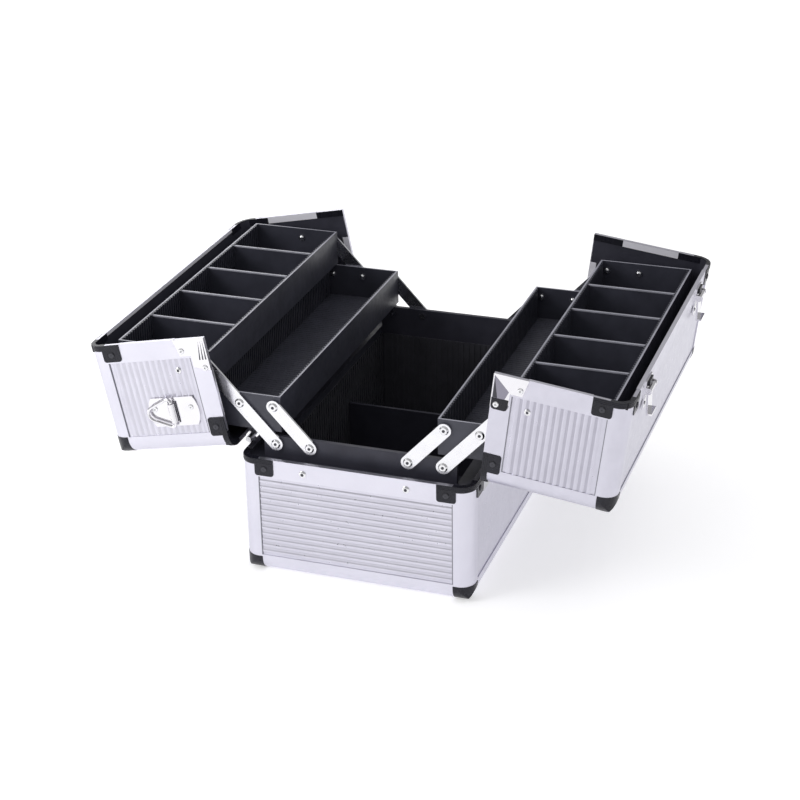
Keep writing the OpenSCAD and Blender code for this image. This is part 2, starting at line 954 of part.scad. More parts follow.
// Grip, legs and pivot stubs; the legs point away from the split
module carrying_handle() {
  leg_y = handle_y - boss_w / 2 - boss_gap - leg_r;
  color("#26262b")
    in_lid(-1)
      translate([handle_x, 0, lid_top + handle_rise])
        rotate([0, -handle_tilt, 0]) {
          both_ends() {
            translate([0, handle_y + boss_w / 2 + stub_end, 0])
              rotate([90, 0, 0]) cylinder(h = boss_w + boss_gap + stub_end + 1, r = stub_r);
            translate([0, leg_y + leg_r, 0]) rotate([90, 0, 0]) cylinder(h = 2 * leg_r, r = boss_r);
            translate([0, leg_y, 0]) rotate([0, 90, 0]) cylinder(h = handle_leg, r = leg_r);
            translate([handle_leg, leg_y, 0]) sphere(grip_r);
          }
          translate([handle_leg, leg_y, 0]) rotate([90, 0, 0]) cylinder(h = 2 * leg_y, r = grip_r);
        }
}

// ---- strap rings on the ends of the left lid ----

module strap_plate() {
  y = half_l;
  difference() {
    union() {
      translate([ring_x, y + strap_plate_t, ring_z])
        rotate([90, 0, 0])
          linear_extrude(strap_plate_t + skin_t - rib_h)
            intersection() {
              circle(strap_plate_r);
              square([strap_plate_w, 3 * strap_plate_r], center = true);
            }
      translate([ring_x - bridge_l / 2, y + ring_out, ring_z])
        rotate([0, 90, 0]) cylinder(h = bridge_l, r = bridge_r);
      span([ring_x - bridge_l / 2, y, ring_z - bridge_r],
           [ring_x + bridge_l / 2, y + ring_out, ring_z + bridge_r]);
    }
    translate([ring_x - bridge_l, y + ring_out, ring_z])
      rotate([0, 90, 0]) cylinder(h = 2 * bridge_l, r = wire_r + rivet_gap);
  }
}

module strap_plates() {
  color("whitesmoke") in_lid(-1) both_ends() strap_plate();
}

// Centre line of the bent wire as [x, z, direction of its outer side], from inside
// one end of the bar round two tight corners and a wide bend to the other end
function ring_path() =
  let (low = [ring_bar / 2 - ring_low_r, ring_low_r],
       top = [0, ring_reach - ring_top_r],
       across = top - low,
       lean = atan2(across[1], across[0]) - acos((ring_low_r - ring_top_r) / norm(across)),
       stub = 1.5, low_steps = 5, top_steps = 6)
  concat(
    [[low[0] - stub, 0, -90]],
    [for (i = [0:low_steps]) let (d = -90 + (lean + 90) * i / low_steps)
      [low[0] + ring_low_r * cos(d), low[1] + ring_low_r * sin(d), d]],
    [for (i = [0:top_steps]) let (d = lean + (180 - 2 * lean) * i / top_steps)
      [top[0] + ring_top_r * cos(d), top[1] + ring_top_r * sin(d), d]],
    [for (i = [0:low_steps]) let (d = 180 - lean + (lean + 90) * i / low_steps)
      [-low[0] + ring_low_r * cos(d), low[1] + ring_low_r * sin(d), d]],
    [[-low[0] + stub, 0, 270]]);

// Round tube along a flat path, a little thinner than the bar whose ends it fills
module bent_wire(path, r) {
  sides = 10;
  rings = len(path);
  points = [for (p = path, k = [0:sides - 1]) let (b = 360 * k / sides)
    [p[0] + r * cos(b) * cos(p[2]), r * sin(b), p[1] + r * cos(b) * sin(p[2])]];
  walls = [for (i = [0:rings - 2], k = [0:sides - 1]) let (j = (k + 1) % sides)
    [i * sides + k, (i + 1) * sides + k, (i + 1) * sides + j, i * sides + j]];
  caps = [[for (k = [0:sides - 1]) k], [for (k = [sides - 1:-1:0]) (rings - 1) * sides + k]];
  polyhedron(points, concat(walls, caps));
}

// Closed wire ring whose straight bar turns in the bridge of the strap plate
module strap_ring() {
  bar = ring_bar - 2 * ring_low_r;
  translate([ring_x, half_l + ring_out, ring_z]) {
    translate([-bar / 2, 0, 0]) rotate([0, 90, 0]) cylinder(h = bar, r = wire_r);
    bent_wire(ring_path(), wire_r - eps);
  }
}

module strap_ring_front() {
  color("silver") in_lid(-1) mirror([0, 1, 0]) strap_ring();
}

module strap_ring_rear() {
  color("silver") in_lid(-1) strap_ring();
}

// ---- linkage ----

// Arm of the rear end with its lowest pivot at x and z and a bore at each pivot
module arm(x, z, pivots) {
  last = (pivots - 1) * arm_pitch;
  color("whitesmoke")
    translate([x, arm_y + arm_t, z])
      rotate([0, -arm_angle, 0])
        rotate([90, 0, 0])
          linear_extrude(arm_t)
            difference() {
              union() {
                translate([0, -arm_w / 2]) square([last, arm_w]);
                circle(arm_w / 2);
                translate([last, 0]) circle(arm_w / 2);
              }
              for (i = [0:pivots - 1])
                translate([i * arm_pitch, 0]) circle(rivet_r + rivet_gap);
            }
}

module arm_short(side, end) {
  on_side(side) mirror([0, end > 0 ? 0 : 1, 0]) arm(pivot_a_x, pivot_z, 2);
}

module arm_long(side, end) {
  on_side(side) mirror([0, end > 0 ? 0 : 1, 0]) arm(pivot_b_x, pivot_z, 3);
}

module arm_upper(side, end) {
  on_side(side) mirror([0, end > 0 ? 0 : 1, 0]) arm(lower_x + 2 * pivot_gap, lower_z, 2);
}

// Rivet along Y through a wall of the given thickness, drawn at the rear
module rivet(x, z, wall) {
  inner = tray_l / 2 - wall;
  translate([x, 0, z])
    rotate([-90, 0, 0]) {
      translate([0, 0, inner - inner_head_t]) cylinder(h = inner_head_t, r = rivet_head_r - head_lip);
      translate([0, 0, inner - inner_head_t]) cylinder(h = head_y - inner + inner_head_t, r = rivet_r);
      translate([0, 0, head_y])
        difference() {
          cylinder(h = rivet_head_t, r1 = rivet_head_r, r2 = rivet_head_r - head_slope);
          translate([0, 0, rivet_head_t - dimple_t]) cylinder(h = 1, r = dimple_r);
        }
    }
}

module base_pivot_rivets() {
  color("silver")
    both_sides()
      both_ends()
        for (x = [pivot_a_x, pivot_b_x]) rivet(x, pivot_z, end_wall_t);
}

// ---- trays ----

// Open box whose inner low edge is at x, with rivet holes at the given offsets
module tray(x, w, top, pivots, pivot_height) {
  z0 = top - tray_h;
  y = tray_l / 2;
  difference() {
    span([x, -y, z0], [x + w, y, top]);
    span([x + tray_wall, -y + tray_wall, z0 + tray_floor], [x + w - tray_wall, y - tray_wall, top + 1]);
    for (p = pivots)
      translate([p, y + 1, pivot_height])
        rotate([90, 0, 0]) cylinder(h = tray_l + 2, r = rivet_r + rivet_gap);
  }
}

module lower_tray() {
  color("#2b2b30") tray(lower_edge, lower_w, lower_top, lower_pivots, lower_z);
}

module upper_tray() {
  color("#2b2b30") tray(upper_edge, upper_w, upper_top, upper_pivots, upper_z);
}

// Slotted strips on the long inner walls and the dividers that slide in them
module slot_strips(x, w, top) {
  y = tray_l / 2 - tray_wall - eps;
  h = tray_h - tray_floor;
  tooth = slot_pitch * 0.5;
  outline = comb(2 * y, slot_pitch, strip_t, slot_depth, tooth);
  translate([x + tray_wall + eps, y, top - h])
    rotate([0, 0, -90]) linear_extrude(h) polygon(outline);
  translate([x + w - tray_wall - eps, -y, top - h])
    rotate([0, 0, 90]) linear_extrude(h) polygon(outline);
}

module tray_dividers(x, w, top) {
  inset = tray_wall + strip_t + divider_play;
  half = tray_divider_t / 2;
  for (i = [1:tray_bays - 1])
    translate([0, (i - tray_bays / 2) * divider_slots * slot_pitch, 0])
      span([x + inset, -half, top - tray_h + tray_floor], [x + w - inset, half, top - divider_drop]);
}

module lower_slot_strips() {
  color("#2f2f35") slot_strips(lower_edge, lower_w, lower_top);
}

module lower_tray_rivets() {
  color("silver")
    both_ends()
      for (x = lower_pivots) rivet(x, lower_z, tray_wall);
}

module upper_tray_rivets() {
  color("silver")
    both_ends()
      for (x = upper_pivots) rivet(x, upper_z, tray_wall);
}

module upper_inserts() {
  color("#2f2f35") {
    slot_strips(upper_edge, upper_w, upper_top);
    tray_dividers(upper_edge, upper_w, upper_top);
  }
}

// ---- one module per sub-part on each side ----

module lid_right_shell() {
  in_lid(1) lid_shell();
}

module lid_right_frame() {
  in_lid(1) lid_frame();
}

module lid_right_facings() {
  in_lid(1) lid_facings();
}

module lid_right_corners() {
  in_lid(1) lid_corners();
}

module lid_right_corner_plates() {
  in_lid(1) lid_corner_plates();
}

module lid_left_shell() {
  in_lid(-1) lid_shell();
}

module lid_left_frame() {
  in_lid(-1) lid_frame();
}

module lid_left_facings() {
  in_lid(-1) lid_facings();
}

module lid_left_corners() {
  in_lid(-1) lid_corners();
}

module lid_left_corner_plates() {
  in_lid(-1) lid_corner_plates();
}

module arm_short_front_right() {
  arm_short(1, -1);
}

module arm_short_front_left() {
  arm_short(-1, -1);
}

module arm_short_rear_right() {
  arm_short(1, 1);
}

module arm_short_rear_left() {
  arm_short(-1, 1);
}

module arm_long_front_right() {
  arm_long(1, -1);
}

module arm_long_front_left() {
  arm_long(-1, -1);
}

module arm_long_rear_right() {
  arm_long(1, 1);
}

module arm_long_rear_left() {
  arm_long(-1, 1);
}

module arm_upper_front_right() {
  arm_upper(1, -1);
}

module arm_upper_front_left() {
  arm_upper(-1, -1);
}

module arm_upper_rear_right() {
  arm_upper(1, 1);
}

module arm_upper_rear_left() {
  arm_upper(-1, 1);
}

module lower_tray_right() {
  on_side(1) lower_tray();
}

module lower_tray_left() {
  on_side(-1) lower_tray();
}

module upper_tray_right() {
  on_side(1) upper_tray();
}

module upper_tray_left() {
  on_side(-1) upper_tray();
}

module lower_slot_strips_right() {
  on_side(1) lower_slot_strips();
}

module lower_slot_strips_left() {
  on_side(-1) lower_slot_strips();
}

module upper_inserts_right() {
  on_side(1) upper_inserts();
}

module upper_inserts_left() {
  on_side(-1) upper_inserts();
}

module lower_tray_rivets_right() {
  on_side(1) lower_tray_rivets();
}

module lower_tray_rivets_left() {
  on_side(-1) lower_tray_rivets();
}

module upper_tray_rivets_right() {
  on_side(1) upper_tray_rivets();
}

module upper_tray_rivets_left() {
  on_side(-1) upper_tray_rivets();
}

base_shell();
base_frame();
base_facings();
base_bottom_sheet();
base_corners();
raised_end_wall_front();
raised_end_wall_rear();
inner_side_walls();
inner_ledge();
base_lining();
base_divider();
base_pivot_rivets();
hinge_base_leaf_right();
hinge_base_leaf_left();
hinge_pins();
lid_right_shell();
lid_right_frame();
lid_right_facings();
lid_right_corners();
lid_right_corner_plates();
hinge_lid_leaf_right();
lid_left_shell();
lid_left_frame();
lid_left_facings();
lid_left_corners();
lid_left_corner_plates();
hinge_lid_leaf_left();
latch_plates();
latch_lever_front();
latch_lever_rear();
latch_catches();
handle_brackets();
carrying_handle();
strap_plates();
strap_ring_front();
strap_ring_rear();
arm_short_front_right();
arm_short_rear_right();
arm_short_front_left();
arm_short_rear_left();
arm_long_front_right();
arm_long_rear_right();
arm_long_front_left();
arm_long_rear_left();
arm_upper_front_right();
arm_upper_rear_right();
arm_upper_front_left();
arm_upper_rear_left();
lower_tray_right();
lower_tray_left();
upper_tray_right();
upper_tray_left();
lower_slot_strips_right();
lower_slot_strips_left();
upper_inserts_right();
upper_inserts_left();
lower_tray_rivets_right();
lower_tray_rivets_left();
upper_tray_rivets_right();
upper_tray_rivets_left();
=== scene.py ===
import json
import math

import bmesh
import bpy
from mathutils import Matrix, Vector


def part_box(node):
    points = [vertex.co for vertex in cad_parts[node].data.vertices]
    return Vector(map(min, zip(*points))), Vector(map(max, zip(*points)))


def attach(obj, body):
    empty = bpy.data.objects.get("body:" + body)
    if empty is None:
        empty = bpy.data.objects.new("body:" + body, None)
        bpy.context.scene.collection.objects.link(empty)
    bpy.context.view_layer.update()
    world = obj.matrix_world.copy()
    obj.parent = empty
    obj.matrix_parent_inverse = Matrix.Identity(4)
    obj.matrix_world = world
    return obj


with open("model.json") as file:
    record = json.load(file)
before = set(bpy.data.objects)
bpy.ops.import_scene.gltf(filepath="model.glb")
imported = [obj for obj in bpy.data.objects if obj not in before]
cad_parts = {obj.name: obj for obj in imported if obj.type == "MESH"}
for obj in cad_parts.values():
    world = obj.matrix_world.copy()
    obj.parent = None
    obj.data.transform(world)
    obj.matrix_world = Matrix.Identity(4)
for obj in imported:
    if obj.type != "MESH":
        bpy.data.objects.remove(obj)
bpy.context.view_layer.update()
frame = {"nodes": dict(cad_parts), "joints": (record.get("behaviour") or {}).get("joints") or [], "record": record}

MM = 0.001
nodes = frame["nodes"]
joints = {joint["name"]: joint for joint in frame["joints"]}

# ---- sizes of the case, in millimetres, as the construction has them ----

HALF_W, HALF_L, BASE_H = (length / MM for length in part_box("base_frame")[1])
HINGE_Z = joints["lid_right"]["pos_m"][2] / MM
LID_H = 120.0
RIM_GAP = 0.6
SPLIT = 0.5
FRAME_W = 18.0
LID_Z0 = BASE_H + RIM_GAP
LID_TOP = BASE_H + LID_H
EDGE_R = 14.0
CORNER_PROUD = 0.8
TAB_REACH = 23.6
TAB_RISE = 9.6

# Signs of the front and the rear end, and of the left and the right flank
ENDS = (-1, 1)
FLANKS = (-1, 1)
SIDES = {"right": 1, "left": -1}
LEVELS = ("lower", "upper")


# ---- geometry helpers ----

WORLD = Matrix.Scale(MM, 4)


def side_matrix(side):
    """Takes a place on the right half of the case, in millimetres, to that side."""
    return Matrix.Diagonal((SIDES[side], 1.0, 1.0, 1.0)) @ WORLD


def lid_matrix(side):
    """Takes a place on the closed right lid, in millimetres, to the open lid of that side."""
    hinge = joints["lid_right"]["pos_m"]
    opening = math.radians(joints[f"lid_{side}"]["range_deg"][1])
    pivot = Matrix.Translation((hinge[0], 0.0, hinge[2]))
    turn = pivot @ Matrix.Rotation(opening, 4, "Y") @ pivot.inverted()
    return Matrix.Diagonal((SIDES[side], 1.0, 1.0, 1.0)) @ turn @ WORLD


def facing(direction):
    """Rotation that turns +Z to a direction."""
    return Vector((0, 0, 1)).rotation_difference(Vector(direction)).to_matrix().to_4x4()


def span(end, near, far):
    """The lower and the upper of two distances along Y at that end."""
    return sorted((end * near, end * far))


def node_box(node):
    """The two far corners of a node, in millimetres."""
    return [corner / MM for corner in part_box(node)]


def smooth(piece, angle):
    """Smooth shading that keeps edges sharper than the angle."""
    piece.data.shade_smooth()
    piece.data.set_sharp_from_angle(angle=math.radians(angle))


PIECE_SHARP = 35.0


def finish_mesh(bm, name, matrix, material, body):
    """Puts a mesh drawn in millimetres in its place and rides it on its body."""
    bm.transform(matrix)
    if matrix.determinant() < 0:
        bmesh.ops.reverse_faces(bm, faces=bm.faces)
    bmesh.ops.remove_doubles(bm, verts=bm.verts, dist=1e-7)
    bmesh.ops.recalc_face_normals(bm, faces=bm.faces)
    mesh = bpy.data.meshes.new(name)
    bm.to_mesh(mesh)
    bm.free()
    mesh.materials.append(material)
    piece = bpy.data.objects.new(name, mesh)
    bpy.context.scene.collection.objects.link(piece)
    smooth(piece, PIECE_SHARP)
    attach(piece, body)


def finish_lid_mesh(bm, side, name, material):
    """Puts a mesh drawn on the closed right lid on the open lid of that side."""
    finish_mesh(bm, name, lid_matrix(side), material, f"lid_{side}")


def skin(bm, outlines, place):
    """Joins outlines with the same number of points, in turn, and closes both ends."""
    rings = [[bm.verts.new(place @ Vector(point)) for point in outline] for outline in outlines]
    count = len(rings[0])
    for low, high in zip(rings, rings[1:]):
        for k in range(count):
            j = (k + 1) % count
            bm.faces.new((low[k], low[j], high[j], high[k]))
    bm.faces.new(list(reversed(rings[0])))
    bm.faces.new(rings[-1])


def lathe(bm, profile, place, segments):
    """Turns a profile of (radius, height) pairs about the place's Z axis."""
    angles = [2 * math.pi * k / segments for k in range(segments)]
    skin(bm, [[(radius * math.cos(a), radius * math.sin(a), height) for a in angles]
              for radius, height in profile], place)


def prism(bm, outline, low, high, place):
    """Carries a flat outline from one height to another along the place's Z axis."""
    skin(bm, [[(*point, height) for point in outline] for height in (low, high)], place)


def block(bm, low, high, place=Matrix.Identity(4)):
    """A box between two corners."""
    size = [b - a for a, b in zip(low, high)]
    middle = [(a + b) / 2 for a, b in zip(low, high)]
    shape = place @ Matrix.Translation(middle) @ Matrix.Diagonal((*size, 1.0))
    cube = bmesh.ops.create_cube(bm, size=1.0)
    bmesh.ops.transform(bm, matrix=shape, verts=cube["verts"])


# ---- materials ----

class Shader:
    """A Principled material and short ways to build its nodes."""

    def __init__(self, name, color, metallic, roughness, **sockets):
        self.material = bpy.data.materials.new(name)
        self.material.use_nodes = True
        self.tree = self.material.node_tree
        self.shader = self.tree.nodes["Principled BSDF"]
        self.set("Base Color", (*color, 1.0))
        self.set("Metallic", metallic)
        self.set("Roughness", roughness)
        for key, value in sockets.items():
            self.set(key.replace("_", " "), value)
        self.coordinates = self.tree.nodes.new("ShaderNodeTexCoord").outputs["Object"]

    def set(self, socket, value):
        self.shader.inputs[socket].default_value = value

    def link(self, output, node, socket):
        self.tree.links.new(output, node.inputs[socket])

    def noise(self, size_mm, detail):
        """Noise whose features are about size_mm."""
        noise = self.tree.nodes.new("ShaderNodeTexNoise")
        noise.inputs["Scale"].default_value = 1.0 / (size_mm * MM)
        noise.inputs["Detail"].default_value = detail
        self.link(self.coordinates, noise, "Vector")
        return noise.outputs["Fac"]

    def spread(self, value, low, high):
        """Maps the middle of a noise to a range."""
        node = self.tree.nodes.new("ShaderNodeMapRange")
        node.inputs["From Min"].default_value = 0.3
        node.inputs["From Max"].default_value = 0.7
        node.inputs["To Min"].default_value = low
        node.inputs["To Max"].default_value = high
        self.link(value, node, "Value")
        return node.outputs["Result"]

    def vary_roughness(self, value, low, high):
        self.link(self.spread(value, low, high), self.shader, "Roughness")

    def vary_color(self, value, dark, light):
        """Mixes two colours by a pattern."""
        mix = self.tree.nodes.new("ShaderNodeMix")
        mix.data_type = "RGBA"
        mix.inputs["A"].default_value = (*dark, 1.0)
        mix.inputs["B"].default_value = (*light, 1.0)
        self.link(self.spread(value, 0.0, 1.0), mix, "Factor")
        self.link(mix.outputs["Result"], self.shader, "Base Color")

    def bump(self, value, height_mm):
        node = self.tree.nodes.new("ShaderNodeBump")
        node.inputs["Strength"].default_value = 1.0
        node.inputs["Distance"].default_value = height_mm * MM
        self.link(value, node, "Height")
        self.link(node.outputs["Normal"], self.shader, "Normal")


def brushed_profile():
    """Anodised aluminium of the edge profiles, with a faint grain."""
    shader = Shader("profile_aluminium", (0.68, 0.67, 0.75), 1.0, 0.34)
    shader.vary_color(shader.noise(60, 4), (0.65, 0.64, 0.72), (0.71, 0.7, 0.78))
    shader.vary_roughness(shader.noise(3, 5), 0.3, 0.4)
    shader.bump(shader.noise(0.25, 2), 0.006)
    return shader.material


def plain_facing():
    """Anodised aluminium of the facings, a little darker and with no grain."""
    shader = Shader("facing_aluminium", (0.63, 0.62, 0.7), 1.0, 0.32)
    shader.vary_color(shader.noise(45, 4), (0.6, 0.59, 0.67), (0.66, 0.65, 0.73))
    shader.vary_roughness(shader.noise(4, 5), 0.27, 0.38)
    return shader.material


def plastic(name, color, low, high, grain_mm, depth_mm, specular=0.3):
    """Grained plastic whose roughness runs from low to high."""
    shader = Shader(name, color, 0.0, (low + high) / 2, Specular_IOR_Level=specular)
    shader.vary_color(shader.noise(20, 4), color, [c * 1.35 for c in color])
    shader.vary_roughness(shader.noise(6, 4), low, high)
    shader.bump(shader.noise(grain_mm, 3), depth_mm)
    return shader.material


def metal(name, color, low, high):
    """Metal with handling marks, whose roughness runs from low to high."""
    shader = Shader(name, color, 1.0, (low + high) / 2)
    shader.vary_roughness(shader.noise(5, 4), low, high)
    shader.vary_color(shader.noise(15, 3), [c * 0.95 for c in color], color)
    shader.bump(shader.noise(0.4, 3), 0.004)
    return shader.material


MATERIALS = {
    "profile_aluminium": brushed_profile(),
    "facing_aluminium": plain_facing(),
    "corner_plastic": plastic("corner_plastic", (0.011, 0.011, 0.017), 0.22, 0.34, 0.5, 0.02),
    "chrome": metal("chrome", (0.78, 0.77, 0.8), 0.1, 0.18),
    "arm_steel": metal("arm_steel", (0.82, 0.82, 0.85), 0.2, 0.3),
    "rivet_steel": metal("rivet_steel", (0.78, 0.78, 0.8), 0.14, 0.24),
    "hinge_steel": metal("hinge_steel", (0.6, 0.6, 0.62), 0.3, 0.42),
    "handle_plastic": plastic("handle_plastic", (0.015, 0.015, 0.017), 0.2, 0.32, 0.6, 0.02),
    "tray_plastic": plastic("tray_plastic", (0.04, 0.041, 0.056), 0.3, 0.44, 0.35, 0.02, 0.42),
    "lining_plastic": plastic("lining_plastic", (0.05, 0.05, 0.06), 0.4, 0.55, 0.3, 0.02),
    "board_black": plastic("board_black", (0.036, 0.036, 0.05), 0.35, 0.5, 0.5, 0.02),
}
# Dark steel of the screws and latch catches, also used for painted shade in recesses and painted reflections on
# the plates
DARK_STEEL_AND_PAINTED_SHADE = metal("dark_steel", (0.07, 0.07, 0.08), 0.25, 0.4)
# Dark strips at the joints beside the ribbed sheets: partly the joint, partly painted shadow of the profiles'
# edges
JOINT_SHADE = metal("seam", (0.24, 0.24, 0.27), 0.35, 0.5)
# Darker chrome for a flat facet on the right lid's plates: painted reflection
SHADED_CHROME = metal("shaded_chrome", (0.26, 0.25, 0.3), 0.15, 0.25)
# Light grey for the tray edges: painted highlight
EDGE_HIGHLIGHT_PAINT = plastic("painted_edge_highlight", (0.3, 0.3, 0.35), 0.25, 0.4, 0.5, 0.01)
# Darker metal on the groove floors: painted shade, with a deeper copy for the right lid
PAINTED_GROOVE_SHADE = metal("groove", (0.56, 0.55, 0.62), 0.3, 0.42)
DEEP_PAINTED_GROOVE_SHADE = metal("deep_groove", (0.44, 0.43, 0.5), 0.3, 0.42)
# Matte near-white for the aluminium legs: painted light standing in for the sheen of the lit legs
LIT_EDGE_SILVER = Shader("lit_edge_silver", (0.86, 0.85, 0.92), 0.0, 0.35).material

# Nodes whose finish differs from that of their slot; the right lid's darker aluminium is painted shade
NODE_FINISH = {
    "latch_catches": DARK_STEEL_AND_PAINTED_SHADE,
    # Darker copies of the aluminium on the right lid: painted shade
    "lid_right_frame": metal("right_profile", (0.62, 0.61, 0.69), 0.3, 0.4),
    "lid_right_facings": metal("right_facing", (0.57, 0.56, 0.64), 0.27, 0.38),
}

# Widths of the rounded edges, by the first of these words that is in a node's name
BEVELS = (("rivets", 0), ("_tray_", 0.3), ("inserts", 0.2), ("strips", 0.2), ("arm_", 0.3),
          ("_corners", 0.3), ("corner_plates", 0.25), ("raised_end_wall", 0.4), ("divider", 0.4),
          ("latch_", 0.25), ("strap_plates", 0.25), ("handle_brackets", 0.3))
BEVEL_FROM = 40.0
NODE_SHARP = 30.0
SHEET_SHARP = 1.0


def dress_cad_nodes():
    """Gives every construction node its finish and rounds what catches the light."""
    for part in frame["record"]["subparts"]:
        name = part["node"]
        node = nodes[name]
        node.data.materials.clear()
        node.data.materials.append(NODE_FINISH.get(name, MATERIALS[part["material_slot"]]))
        smooth(node, SHEET_SHARP if "facings" in name else NODE_SHARP)
        width = next((w for word, w in BEVELS if word in name), 0)
        if width:
            bevel = node.modifiers.new("edge", "BEVEL")
            bevel.width = width * MM
            bevel.segments = 2
            bevel.limit_method = "ANGLE"
            bevel.angle_limit = math.radians(BEVEL_FROM)
            bevel.harden_normals = True


# ---- screws and rivets ----

HEAD_SEGMENTS = 20
HOLE_SEGMENTS = 16
CROSS_TURN = 0.4


def screw_head(bm, place, radius):
    """Pan head with a raised cross, on a face at the place's origin."""
    rise = radius * 0.42
    lathe(bm, ((radius, 0.0), (radius, rise * 0.35), (radius * 0.86, rise * 0.8),
               (radius * 0.55, rise)), place, HEAD_SEGMENTS)
    arm, width = radius * 0.5, radius * 0.13
    for turn in (CROSS_TURN, CROSS_TURN + math.pi / 2):
        block(bm, (-arm, -width, rise - 0.05), (arm, width, rise + 0.04),
              place @ Matrix.Rotation(turn, 4, "Z"))


def rivet_head(bm, place, radius):
    """Low dome of a blind rivet with its dimple."""
    rise = radius * 0.36
    lathe(bm, ((radius, 0.0), (radius * 0.97, rise * 0.4), (radius * 0.75, rise * 0.85),
               (radius * 0.42, rise), (radius * 0.36, rise * 0.55), (radius * 0.1, rise * 0.5)),
          place, HEAD_SEGMENTS)


def hole(bm, place, radius, rise):
    """Dark disc in a bright head, painted shade of its recess; rise is just below the height of the head's top."""
    lathe(bm, ((radius, rise - 0.3), (radius, rise + 0.05)), place, HOLE_SEGMENTS)


def on_end(x, end, z, proud=0.0):
    """A place on the outer face of an end wall."""
    return Matrix.Translation((x, end * (HALF_L + proud), z)) @ facing((0, end, 0))


def on_flank(x, y, z):
    """A place on an outer side face, at negative x on the left one."""
    return Matrix.Translation((x, y, z)) @ facing((1 if x > 0 else -1, 0, 0))


def on_top(x, y, proud):
    """A place on the top face of a lid."""
    return Matrix.Translation((x, y, LID_TOP + proud))


TAB_SCREW_R = 2.9
HINGE_RIVETS = (-132.0, -66.0, 0.0, 66.0, 132.0)
HINGE_RIVET_IN = 11.5
HINGE_RIVET_R = 2.2
LEAF_T = 1.0
BASE_RIVET = {"x": 49.0, "below": 9.7, "radius": 3.6, "hole": (1.2, 1.25)}
# On a lid's end, as distance from the middle of the case and rise above the lid's rim
PLATE_SCREWS = ((11.5, 24.6), (29.0, 5.0))
PLATE_SCREW_R = 2.8
PLATE_SCREW_HOLE = (1.1, 1.15)
LID_RIVET = {"x": 30.0, "rise": 33.0, "sunk": 0.4, "radius": 3.0, "hole": (1.1, 1.05)}


def base_rivet_places():
    return [on_end(side * BASE_RIVET["x"], end, BASE_H - BASE_RIVET["below"])
            for end in ENDS for side in FLANKS]


def plate_screw_places():
    return [on_end(x, end, LID_Z0 + rise, CORNER_PROUD) for end in ENDS for x, rise in PLATE_SCREWS]


def lid_rivet_places():
    return [on_end(LID_RIVET["x"], end, LID_Z0 + LID_RIVET["rise"], -LID_RIVET["sunk"])
            for end in ENDS]


def fasteners():
    """Screws of the corner pieces and rivets of the panels, one piece for each body and kind."""
    tab_y = HALF_L - TAB_REACH
    bm = bmesh.new()
    for end in ENDS:
        for side in FLANKS:
            z = BASE_H - TAB_RISE
            screw_head(bm, on_end(side * (HALF_W - TAB_REACH), end, z, CORNER_PROUD), TAB_SCREW_R)
            screw_head(bm, on_flank(side * (HALF_W + CORNER_PROUD), end * tab_y, z), TAB_SCREW_R)
    finish_mesh(bm, "base_screws", WORLD, DARK_STEEL_AND_PAINTED_SHADE, "base")
    bm = bmesh.new()
    for place in base_rivet_places():
        rivet_head(bm, place, BASE_RIVET["radius"])
    for side in FLANKS:
        for y in HINGE_RIVETS:
            place = on_flank(side * (HALF_W + LEAF_T), y, HINGE_Z - HINGE_RIVET_IN)
            rivet_head(bm, place, HINGE_RIVET_R)
    finish_mesh(bm, "base_rivets", WORLD, MATERIALS["rivet_steel"], "base")
    for side in SIDES:
        bm = bmesh.new()
        for end in ENDS:
            for place in (on_end(HALF_W - TAB_REACH, end, LID_Z0 + TAB_RISE, CORNER_PROUD),
                          on_end(SPLIT + TAB_RISE, end, LID_TOP - TAB_REACH, CORNER_PROUD),
                          on_flank(HALF_W + CORNER_PROUD, end * tab_y, LID_Z0 + TAB_RISE),
                          on_top(SPLIT + TAB_RISE, end * tab_y, CORNER_PROUD)):
                screw_head(bm, place, TAB_SCREW_R)
        finish_lid_mesh(bm, side, f"lid_{side}_tab_screws", DARK_STEEL_AND_PAINTED_SHADE)
        bm = bmesh.new()
        for y in HINGE_RIVETS:
            rivet_head(bm, on_flank(HALF_W + LEAF_T, y, HINGE_Z + HINGE_RIVET_IN), HINGE_RIVET_R)
        for place in plate_screw_places():
            screw_head(bm, place, PLATE_SCREW_R)
        for place in lid_rivet_places():
            rivet_head(bm, place, LID_RIVET["radius"])
        finish_lid_mesh(bm, side, f"lid_{side}_screws", MATERIALS["rivet_steel"])


def islands(node):
    """Bounds of each separate solid of a node, in millimetres."""
    bm = bmesh.new()
    bm.from_mesh(node.data)
    bm.transform(node.matrix_world)
    bmesh.ops.remove_doubles(bm, verts=bm.verts, dist=1e-6)
    left, found = set(bm.verts), []
    while left:
        group, queue = [], [left.pop()]
        while queue:
            vert = queue.pop()
            group.append(vert.co / MM)
            for edge in vert.link_edges:
                other = edge.other_vert(vert)
                if other in left:
                    left.remove(other)
                    queue.append(other)
        found.append([[pick(co[k] for co in group) for k in range(3)] for pick in (min, max)])
    bm.free()
    return found


PIN_HOLE_R = 1.3
PIN_HOLE_DEPTH = 0.5
PIN_HOLE_PROUD = 0.03


def arm_rivet_holes():
    """Dark discs in the heads of the rivets that the arms turn on: painted shade of their pin holes."""
    riders = {"base_pivot_rivets": "base"}
    for side in SIDES:
        for level in LEVELS:
            riders[f"{level}_tray_rivets_{side}"] = f"{level}_tray_{side}"
    for name, body in riders.items():
        bm = bmesh.new()
        for low, high in islands(nodes[name]):
            end = 1 if low[1] + high[1] > 0 else -1
            y = high[1] if end > 0 else low[1]
            middle = Matrix.Translation(((low[0] + high[0]) / 2, y, (low[2] + high[2]) / 2))
            lathe(bm, ((PIN_HOLE_R, -PIN_HOLE_DEPTH), (PIN_HOLE_R, PIN_HOLE_PROUD)),
                  middle @ facing((0, end, 0)), HOLE_SEGMENTS)
        finish_mesh(bm, f"{name}_dimples", WORLD, DARK_STEEL_AND_PAINTED_SHADE, body)


